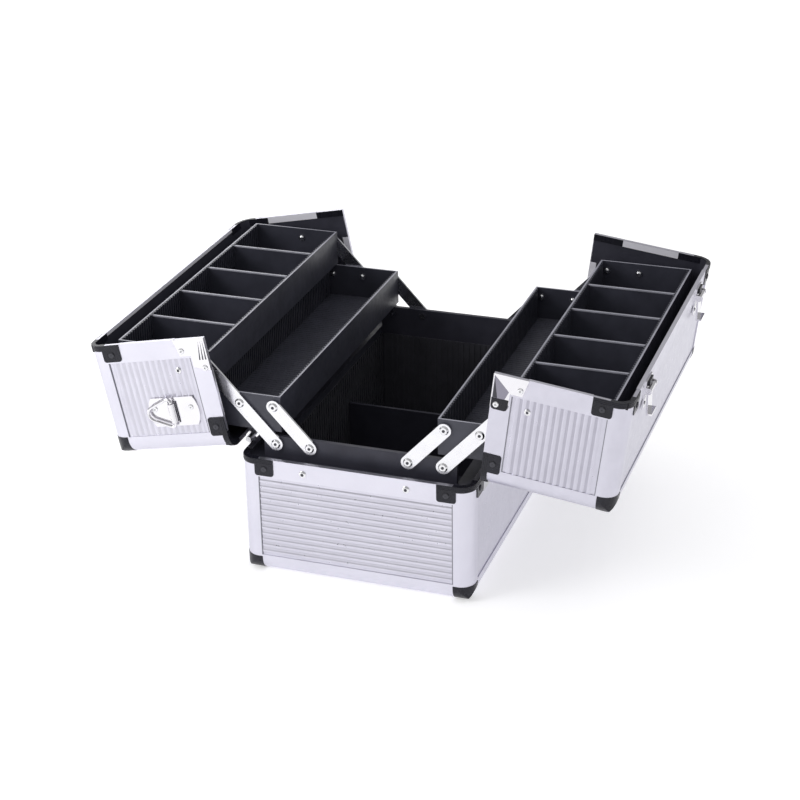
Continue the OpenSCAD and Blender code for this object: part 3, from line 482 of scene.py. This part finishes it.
def bright_head_holes():
    """Dark discs in the bright heads of the base and of both lids: painted shade of their recesses."""
    bm = bmesh.new()
    for place in base_rivet_places():
        hole(bm, place, *BASE_RIVET["hole"])
    finish_mesh(bm, "base_rivet_dimples", WORLD, DARK_STEEL_AND_PAINTED_SHADE, "base")
    for side in SIDES:
        bm = bmesh.new()
        for place in plate_screw_places():
            hole(bm, place, *PLATE_SCREW_HOLE)
        for place in lid_rivet_places():
            hole(bm, place, *LID_RIVET["hole"])
        if side == "left":
            for place in strap_screw_places():
                hole(bm, place, *STRAP_SCREW_HOLE)
        finish_lid_mesh(bm, side, f"lid_{side}_screw_recesses", DARK_STEEL_AND_PAINTED_SHADE)


# ---- ridges on the black rim corners ----

BAND_REACH = 32.0
RIDGE_R = 0.42
RIDGE_FLATTEN = 0.8
RIDGE_SUNK = 0.05
RIDGE_LIFTS = (1.1, 2.6, 4.1)
RIDGE_SIDES = 5
CORNER_STEPS = 8


def corner_path(far_x, far_y, radius):
    """Rounded corner from one straight run to the other, as points with their way out."""
    path = [(far_x - BAND_REACH, far_y, 0.0, 1.0)]
    for k in range(CORNER_STEPS + 1):
        a = math.pi / 2 * (1 - k / CORNER_STEPS)
        out = (math.cos(a), math.sin(a))
        path.append((far_x - radius + radius * out[0], far_y - radius + radius * out[1], *out))
    path.append((far_x, far_y - BAND_REACH, 1.0, 0.0))
    return path


def half_round(bm, path, lift, place):
    """Half-round bead on a flat path; lift is its distance from the path's plane."""
    rings = []
    for x, y, out_x, out_y in path:
        ring = []
        for k in range(RIDGE_SIDES + 1):
            a = math.pi * k / RIDGE_SIDES
            out = RIDGE_R * math.sin(a) * RIDGE_FLATTEN - RIDGE_SUNK
            ring.append((x + out * out_x, y + out * out_y, lift + RIDGE_R * math.cos(a)))
        rings.append(ring)
    skin(bm, rings, place)


def rim_ridges():
    """Beads along the bands of the rim corners of the base and of both lids."""
    far_y, radius = HALF_L + CORNER_PROUD, EDGE_R + CORNER_PROUD
    rim = corner_path(HALF_W + CORNER_PROUD, far_y, radius)
    split = corner_path(LID_TOP + CORNER_PROUD, far_y, radius)
    upright = Matrix(((0, 0, 1, 0), (0, 1, 0, 0), (1, 0, 0, 0), (0, 0, 0, 1)))
    black = MATERIALS["corner_plastic"]
    bm = bmesh.new()
    for side in FLANKS:
        for end in ENDS:
            for lift in RIDGE_LIFTS:
                half_round(bm, rim, BASE_H - lift, Matrix.Diagonal((side, end, 1.0, 1.0)))
    finish_mesh(bm, "base_rim_ridges", WORLD, black, "base")
    for side in SIDES:
        bm = bmesh.new()
        for end in ENDS:
            flip = Matrix.Diagonal((1.0, end, 1.0, 1.0))
            for lift in RIDGE_LIFTS:
                half_round(bm, rim, LID_Z0 + lift, flip)
                half_round(bm, split, SPLIT + lift, flip @ upright)
        finish_lid_mesh(bm, side, f"lid_{side}_rim_ridges", black)


# ---- seams and grooves of the ribbed sheets, darkened with painted shade ----

SEAM_DEPTH = 0.7
BASE_SEAM = {"half": 0.45, "proud": 0.0355}
LID_SEAM = {"half": 0.4, "proud": 0.04}


def seams():
    """Thin dark strips where the ribbed sheets meet the profiles beside them: partly the joint, partly painted
    shadow of the profiles' raised edges.
    """
    bm = bmesh.new()
    for end in ENDS:
        far = HALF_L + BASE_SEAM["proud"]
        y = span(end, far - SEAM_DEPTH, far)
        for side in FLANKS:
            x = side * (HALF_W - FRAME_W)
            block(bm, (x - BASE_SEAM["half"], y[0], FRAME_W),
                  (x + BASE_SEAM["half"], y[1], BASE_H - FRAME_W))
    finish_mesh(bm, "base_seams", WORLD, JOINT_SHADE, "base")
    for side in SIDES:
        bm = bmesh.new()
        for end in ENDS:
            far = HALF_L + LID_SEAM["proud"]
            y = span(end, far - SEAM_DEPTH, far)
            for z in (LID_Z0 + FRAME_W, LID_TOP - FRAME_W):
                block(bm, (SPLIT + FRAME_W, y[0], z - LID_SEAM["half"]),
                      (HALF_W - FRAME_W, y[1], z + LID_SEAM["half"]))
        finish_lid_mesh(bm, side, f"lid_{side}_seams", JOINT_SHADE)


RIB_PITCH = 6.0
RIB_START = 0.5
RIB_MARGIN = 2.0
GROOVE_HALF = 0.85
BED_HALF = 1.3
BED_SHORT = 0.6
BED_RISE = 0.16
BED_SUNK = 0.1
SHEET_IN = 0.8


def groove_floors(x0, x1, z0, z1):
    """Floors of the grooves between the ribs of both end sheets that lie in these bounds."""
    count = math.floor((z1 - z0 - RIB_MARGIN) / RIB_PITCH)
    first = (z0 + z1 - count * RIB_PITCH) / 2
    sheet = HALF_L - SHEET_IN
    bm = bmesh.new()
    for end in ENDS:
        y = span(end, sheet - BED_SUNK, sheet + BED_RISE)
        for k in range(1, count):
            z = first + k * RIB_PITCH + RIB_START - GROOVE_HALF
            block(bm, (x0 + BED_SHORT, y[0], z - BED_HALF), (x1 - BED_SHORT, y[1], z + BED_HALF))
    return bm


def grooves():
    """Painted shade on the floors of the grooves of the base and of the lids, darkest on the right lid."""
    bm = groove_floors(FRAME_W - HALF_W, HALF_W - FRAME_W, FRAME_W, BASE_H - FRAME_W)
    finish_mesh(bm, "base_groove_floors", WORLD, PAINTED_GROOVE_SHADE, "base")
    # The right lid's groove floors get the deeper painted shade
    for side, finish in (("right", DEEP_PAINTED_GROOVE_SHADE), ("left", PAINTED_GROOVE_SHADE)):
        bm = groove_floors(SPLIT + FRAME_W, HALF_W - FRAME_W, LID_Z0 + FRAME_W, LID_TOP - FRAME_W)
        finish_lid_mesh(bm, side, f"lid_{side}_groove_floors", finish)


# ---- legs of the profiles on the lid boards ----

WALL_IN = 3.1
LEG = 6.5
LONG_LEG = 3.0
LEG_T = 0.5
CORNER_LEG = 30.0
CAP_RISE = 0.25


def edge_legs():
    """Legs of the profiles and corner pieces that fold over the edges of the lid boards. The silver legs are a
    matte near-white, painted light in place of their aluminium sheen.
    """
    x0, z0 = SPLIT, LID_Z0
    x1, y1, z1 = HALF_W - WALL_IN, HALF_L - WALL_IN, LID_TOP - WALL_IN
    z_low, z_high, run = z0 + CORNER_LEG, z1 - CORNER_LEG, y1 - CORNER_LEG
    for side in SIDES:
        silver, black, caps = bmesh.new(), bmesh.new(), bmesh.new()
        for end in ENDS:
            y = span(end, y1 - LEG_T, y1)
            block(silver, (x0, y[0], z_low), (x0 + LEG, y[1], z_high))
            block(black, (x0, y[0], z_high), (x0 + LEG, y[1], z1))
            block(black, (x0, y[0], z0), (x0 + LEG, y[1], z_low))
            block(silver, (x0 + CORNER_LEG, y[0], z0), (x1 - CORNER_LEG, y[1], z0 + LEG))
            block(black, (x1 - CORNER_LEG, y[0], z0), (x1, y[1], z0 + LEG))
            y = span(end, run, y1)
            block(black, (x0, y[0], z1 - LEG_T), (x0 + LEG, y[1], z1))
            y = span(end, y1 - LEG_T, HALF_L)
            block(caps, (x0 - CAP_RISE, y[0], z_low), (x0, y[1], z_high))
        block(silver, (x0, -run, z1 - LEG_T), (x0 + LONG_LEG, run, z1))
        block(caps, (x0 - CAP_RISE, -run, z1 - LEG_T), (x0, run, LID_TOP))
        finish_lid_mesh(caps, side, f"lid_{side}_edge_caps", MATERIALS["profile_aluminium"])
        finish_lid_mesh(silver, side, f"lid_{side}_edge_legs", LIT_EDGE_SILVER)
        finish_lid_mesh(black, side, f"lid_{side}_corner_legs", MATERIALS["corner_plastic"])


# ---- bright corner plates ----

PLATE_X = SPLIT + 1.5
PLATE_Z = LID_Z0 + 1.0
# Outlines of painted reflections on the plate of the right lid, from its lower inner corner
FACET = ((0, 0), (21, 0), (21, 11), (13, 14))
FOLD = ((2, 0.4), (20.6, 0.4), (20.6, 4.5))
FACET_T = 0.15
FOLD_FROM = 0.05
# Painted reflections of creases on the plate of the left lid, each steeper than the one below
CREASES = 3
CREASE_X0 = 1.5
CREASE_X1 = 19.0
CREASE_Z = 0.6
CREASE_STEP = 2.1
CREASE_LEAN = 0.9
CREASE_W = 1.3


def plate_prism(bm, end, outline, near, far):
    """Carries an outline drawn in X and Z outwards from the plates' faces of one end."""
    place = (Matrix.Translation((0, end * (HALF_L + CORNER_PROUD), 0))
             @ Matrix.Rotation(math.pi / 2, 4, "X"))
    prism(bm, outline, *span(-end, near, far), place)


def from_plate_corner(points):
    return [(PLATE_X + x, PLATE_Z + z) for x, z in points]


def plate_painted_reflections():
    """Dark flat patches in the corners of the bright plates: painted reflections of folds that would mirror a
    darker side.
    """
    facets, folds, creases = bmesh.new(), bmesh.new(), bmesh.new()
    for end in ENDS:
        plate_prism(facets, end, from_plate_corner(FACET), 0.0, FACET_T)
        plate_prism(folds, end, from_plate_corner(FOLD), FOLD_FROM, FOLD_FROM + FACET_T)
        for k in range(CREASES):
            z, lean = CREASE_Z + CREASE_STEP * k, CREASE_LEAN * k
            crease = ((CREASE_X0, z), (CREASE_X1, z + lean), (CREASE_X1, z + lean + CREASE_W))
            plate_prism(creases, end, from_plate_corner(crease), 0.0, FACET_T)
    finish_lid_mesh(facets, "right", "lid_right_plate_facets", SHADED_CHROME)
    finish_lid_mesh(folds, "right", "lid_right_plate_folds", DARK_STEEL_AND_PAINTED_SHADE)
    finish_lid_mesh(creases, "left", "lid_left_plate_folds", DARK_STEEL_AND_PAINTED_SHADE)


PLATE_END_X = (SPLIT + 22.5, SPLIT + 33.0)
PLATE_END_Z = (LID_Z0 + 0.6, LID_Z0 + 15.6)
PLATE_END_T = 0.5
PLATE_END_R = 3.0
PLATE_END_CUT = 0.9


def plate_ends():
    """Black end pieces on the rim legs of the bright corner plates of the right lid."""
    (x0, x1), (z0, z1), r, cut = PLATE_END_X, PLATE_END_Z, PLATE_END_R, PLATE_END_CUT
    outline = ((x0, z0), (x1 - r, z0), (x1 - cut, z0 + cut), (x1, z0 + r), (x1, z1 - r),
               (x1 - cut, z1 - cut), (x1 - r, z1), (x0, z1))
    bm = bmesh.new()
    for end in ENDS:
        plate_prism(bm, end, outline, 0.0, PLATE_END_T)
    finish_lid_mesh(bm, "right", "lid_right_plate_ends", MATERIALS["corner_plastic"])


# ---- strap plates and latches ----

STRAP_X = 69.0
STRAP_Z = 165.0
STRAP_T = 1.2
STRAP_SCREW_X = STRAP_X - 3.5
STRAP_SCREW_ZS = (STRAP_Z - 18.0, STRAP_Z + 18.6)
STRAP_SCREW_R = 2.6
STRAP_SCREW_HOLE = (1.0, 1.05)
SLOT_OFF = 3.8
SLOT_HALF_L = 10.5
SLOT_HALF_W = 0.7
SLOT_SUNK = 0.3
SLOT_PROUD = 0.06


def strap_screw_places():
    return [on_end(STRAP_SCREW_X, end, z, STRAP_T) for end in ENDS for z in STRAP_SCREW_ZS]


def strap_plate_details():
    """Screws of the strap plates and the dark slots beside their bridges."""
    bm = bmesh.new()
    for place in strap_screw_places():
        screw_head(bm, place, STRAP_SCREW_R)
    finish_lid_mesh(bm, "left", "strap_plate_screws", MATERIALS["rivet_steel"])
    bm = bmesh.new()
    face = HALF_L + STRAP_T
    for end in ENDS:
        y = span(end, face - SLOT_SUNK, face + SLOT_PROUD)
        for z in (STRAP_Z - SLOT_OFF, STRAP_Z + SLOT_OFF):
            block(bm, (STRAP_X - SLOT_HALF_L, y[0], z - SLOT_HALF_W),
                  (STRAP_X + SLOT_HALF_L, y[1], z + SLOT_HALF_W))
    finish_lid_mesh(bm, "left", "strap_plate_slots", MATERIALS["board_black"])


LATCH_Y = 110.0
PAD_X = (3.4, 8.6)
PAD_HALF_L = 6.5
PAD_RISE = (1.1, 3.2)
LATCH_RIVET_X = 25.5
LATCH_RIVET_OFF = 6.0
LATCH_RIVET_R = 1.9
LATCH_PLATE_T = 1.2


def latch_pads():
    """Black pads between the split and the latch pins, and the rivets of the latch plates."""
    pads, rivets = bmesh.new(), bmesh.new()
    for end in ENDS:
        y = end * LATCH_Y
        block(pads, (PAD_X[0], y - PAD_HALF_L, LID_TOP + PAD_RISE[0]),
              (PAD_X[1], y + PAD_HALF_L, LID_TOP + PAD_RISE[1]))
        for off in (-LATCH_RIVET_OFF, LATCH_RIVET_OFF):
            rivet_head(rivets, on_top(LATCH_RIVET_X, y + off, LATCH_PLATE_T), LATCH_RIVET_R)
    finish_lid_mesh(pads, "right", "latch_pads", MATERIALS["corner_plastic"])
    finish_lid_mesh(rivets, "right", "latch_rivets", MATERIALS["rivet_steel"])


# ---- trays ----

TRAY_WALL = 1.8
TRAY_FLOOR = 1.6
DIVIDER_T = 2.2
DIVIDER_PITCH = 64.4
DIVIDER_STEPS = (-1.5, -0.5, 0.5, 1.5)
DIVIDER_HIGHLIGHT = (2.0, 0.7)
STRIP_IN = 2.6
HIGHLIGHT_IN = 0.1
HIGHLIGHT_RISE = 0.15


def tray_edge_highlights(level, side):
    """Bright strips on the top edges of a tray's walls and on its dividers: painted highlights for the light their
    rounded edges catch.
    """
    low, high = node_box(f"{level}_tray_{side}")
    bottom, top, wall = high[2] - HIGHLIGHT_IN, high[2] + HIGHLIGHT_RISE, TRAY_WALL - HIGHLIGHT_IN
    bm = bmesh.new()
    for x0, x1 in ((low[0] + HIGHLIGHT_IN, low[0] + wall), (high[0] - wall, high[0] - HIGHLIGHT_IN)):
        block(bm, (x0, low[1] + HIGHLIGHT_IN, bottom), (x1, high[1] - HIGHLIGHT_IN, top))
    for y0, y1 in ((low[1] + HIGHLIGHT_IN, low[1] + wall), (high[1] - wall, high[1] - HIGHLIGHT_IN)):
        block(bm, (low[0] + wall, y0, bottom), (high[0] - wall, y1, top))
    if level == "upper":
        for y in (k * DIVIDER_PITCH for k in DIVIDER_STEPS):
            block(bm, (low[0] + STRIP_IN, y - DIVIDER_T / 2, high[2] - DIVIDER_HIGHLIGHT[0]),
                  (high[0] - STRIP_IN, y + DIVIDER_T / 2, high[2] - DIVIDER_HIGHLIGHT[1]))
    finish_mesh(bm, f"{level}_tray_edge_highlights_{side}", WORLD, EDGE_HIGHLIGHT_PAINT, f"{level}_tray_{side}")


TRAY_RIB_PITCH = 4.6
TRAY_RIB_IN = 1.9
TRAY_RIB_MARGIN = 2.0
TRAY_RIB_H = 0.45
TRAY_RIB_FOOT = 0.8
TRAY_RIB_TOP = 0.4


def tray_floor_ribs(level, side):
    """Fine ribs across the floor of a tray, open below where they stand on it."""
    low, high = node_box(f"{level}_tray_{side}")
    inset = TRAY_WALL + TRAY_RIB_IN
    floor = low[2] + TRAY_FLOOR
    count = int((high[1] - low[1] - 2 * TRAY_WALL - TRAY_RIB_MARGIN) / TRAY_RIB_PITCH)
    bm = bmesh.new()
    for k in range(count):
        y = (k - count / 2 + 1) * TRAY_RIB_PITCH
        outline = ((y - TRAY_RIB_FOOT, floor), (y - TRAY_RIB_TOP, floor + TRAY_RIB_H),
                   (y + TRAY_RIB_TOP, floor + TRAY_RIB_H), (y + TRAY_RIB_FOOT, floor))
        near, far = ([bm.verts.new((x, *point)) for point in outline]
                     for x in (low[0] + inset, high[0] - inset))
        for j in range(len(outline) - 1):
            bm.faces.new((near[j], far[j], far[j + 1], near[j + 1]))
        bm.faces.new(near)
        bm.faces.new(list(reversed(far)))
    finish_mesh(bm, f"{level}_tray_floor_ribs_{side}", WORLD, MATERIALS["tray_plastic"],
                f"{level}_tray_{side}")


PIVOT_IN = 6.3
PIVOT_GAP = 32.65
PIVOT_BELOW = 9.8
PIVOT_COUNT = {"lower": 3, "upper": 2}
TAIL_IN = 0.8
TAIL = ((2.7, 0.0), (2.6, 0.6), (2.1, 1.2), (1.1, 1.6), (0.3, 1.7))


def tray_rivet_tails(level, side):
    """Closed heads of the arm rivets inside a tray."""
    low, high = node_box(f"{level}_tray_{side}")
    inner_edge = min(abs(low[0]), abs(high[0]))
    bm = bmesh.new()
    for end in ENDS:
        y = end * ((high[1] - low[1]) / 2 - TRAY_WALL - TAIL_IN)
        for k in range(PIVOT_COUNT[level]):
            x = inner_edge + PIVOT_IN + k * PIVOT_GAP
            place = Matrix.Translation((x, y, high[2] - PIVOT_BELOW)) @ facing((0, -end, 0))
            lathe(bm, TAIL, place, HOLE_SEGMENTS)
    finish_mesh(bm, f"{level}_tray_rivet_tails_{side}", side_matrix(side),
                MATERIALS["rivet_steel"], f"{level}_tray_{side}")


# ---- stage, lights and camera, in metres and watts ----

PAPER_SIZE = 30.0
PAPER_DROP = 0.0005
PAPER_GLOW = 0.49


def make_stage():
    """White paper floor that glows a little, so that it stays white in the picture."""
    bm = bmesh.new()
    bmesh.ops.create_grid(bm, x_segments=1, y_segments=1, size=PAPER_SIZE)
    mesh = bpy.data.meshes.new("floor")
    bm.to_mesh(mesh)
    bm.free()
    floor = bpy.data.objects.new("floor", mesh)
    floor.location.z = -PAPER_DROP
    bpy.context.scene.collection.objects.link(floor)
    paper = Shader("floor", (0.86, 0.86, 0.87), 0.0, 0.8, Emission_Strength=PAPER_GLOW)
    paper.set("Emission Color", (1.0, 1.0, 1.0, 1.0))
    mesh.materials.append(paper.material)


def area_light(name, place, aim, size, power):
    data = bpy.data.lights.new(name, "AREA")
    data.shape = "RECTANGLE"
    data.size, data.size_y = size
    data.energy = power
    light = bpy.data.objects.new(name, data)
    light.location = place
    light.rotation_euler = (Vector(aim) - Vector(place)).to_track_quat("-Z", "Y").to_euler()
    bpy.context.scene.collection.objects.link(light)


WORLD_STRENGTH = 0.45


def make_light():
    """Even white surroundings with softboxes at the left, above and behind."""
    world = bpy.data.worlds.new("studio")
    world.use_nodes = True
    background = world.node_tree.nodes["Background"]
    background.inputs["Color"].default_value = (1.0, 1.0, 1.0, 1.0)
    background.inputs["Strength"].default_value = WORLD_STRENGTH
    bpy.context.scene.world = world
    area_light("key", (-1.7, -1.5, 1.1), (-0.1, 0, 0.1), (1.2, 1.0), 9)
    area_light("top", (0.0, 0.3, 2.6), (0, 0, 0.1), (3.0, 3.0), 17)
    area_light("back", (-2.0, 2.4, 1.35), (0, 0, 0.15), (1.8, 0.8), 14)
    area_light("left_floor", (-1.0, -0.95, 1.0), (-0.6, -0.6, 0.0), (0.6, 0.6), 5)
    bpy.context.scene.view_settings.view_transform = "Standard"


CAMERA_PLACE = (0.55183, -1.61907, 0.90947)
CAMERA_YAW = 19.37
CAMERA_PITCH = -25.08
CAMERA_ROLL = -0.95
CAMERA_LENS = 87.8
CAMERA_CLIP = 0.05
SENSOR = 36.0


def make_camera():
    """Camera fitted to the photo, with its angles in degrees and its lens in millimetres."""
    yaw, pitch, roll = (math.radians(a) for a in (CAMERA_YAW, CAMERA_PITCH, CAMERA_ROLL))
    ahead = Vector((-math.sin(yaw) * math.cos(pitch), math.cos(yaw) * math.cos(pitch),
                    math.sin(pitch)))
    level = Vector((math.cos(yaw), math.sin(yaw), 0.0))
    above = level.cross(ahead)
    right = level * math.cos(roll) + above * math.sin(roll)
    up = above * math.cos(roll) - level * math.sin(roll)
    data = bpy.data.cameras.new("camera")
    data.sensor_width = SENSOR
    data.lens = CAMERA_LENS
    data.clip_start = CAMERA_CLIP
    camera = bpy.data.objects.new("camera", data)
    turn = Matrix((right, up, -ahead)).transposed().to_4x4()
    camera.matrix_world = Matrix.Translation(CAMERA_PLACE) @ turn
    bpy.context.scene.collection.objects.link(camera)
    bpy.context.scene.camera = camera


make_stage()
make_light()
make_camera()
dress_cad_nodes()
fasteners()
arm_rivet_holes()
bright_head_holes()
rim_ridges()
seams()
grooves()
edge_legs()
plate_painted_reflections()
plate_ends()
strap_plate_details()
latch_pads()
for side_name in SIDES:
    for level_name in LEVELS:
        tray_edge_highlights(level_name, side_name)
    tray_floor_ribs("lower", side_name)
    for level_name in LEVELS:
        tray_rivet_tails(level_name, side_name)
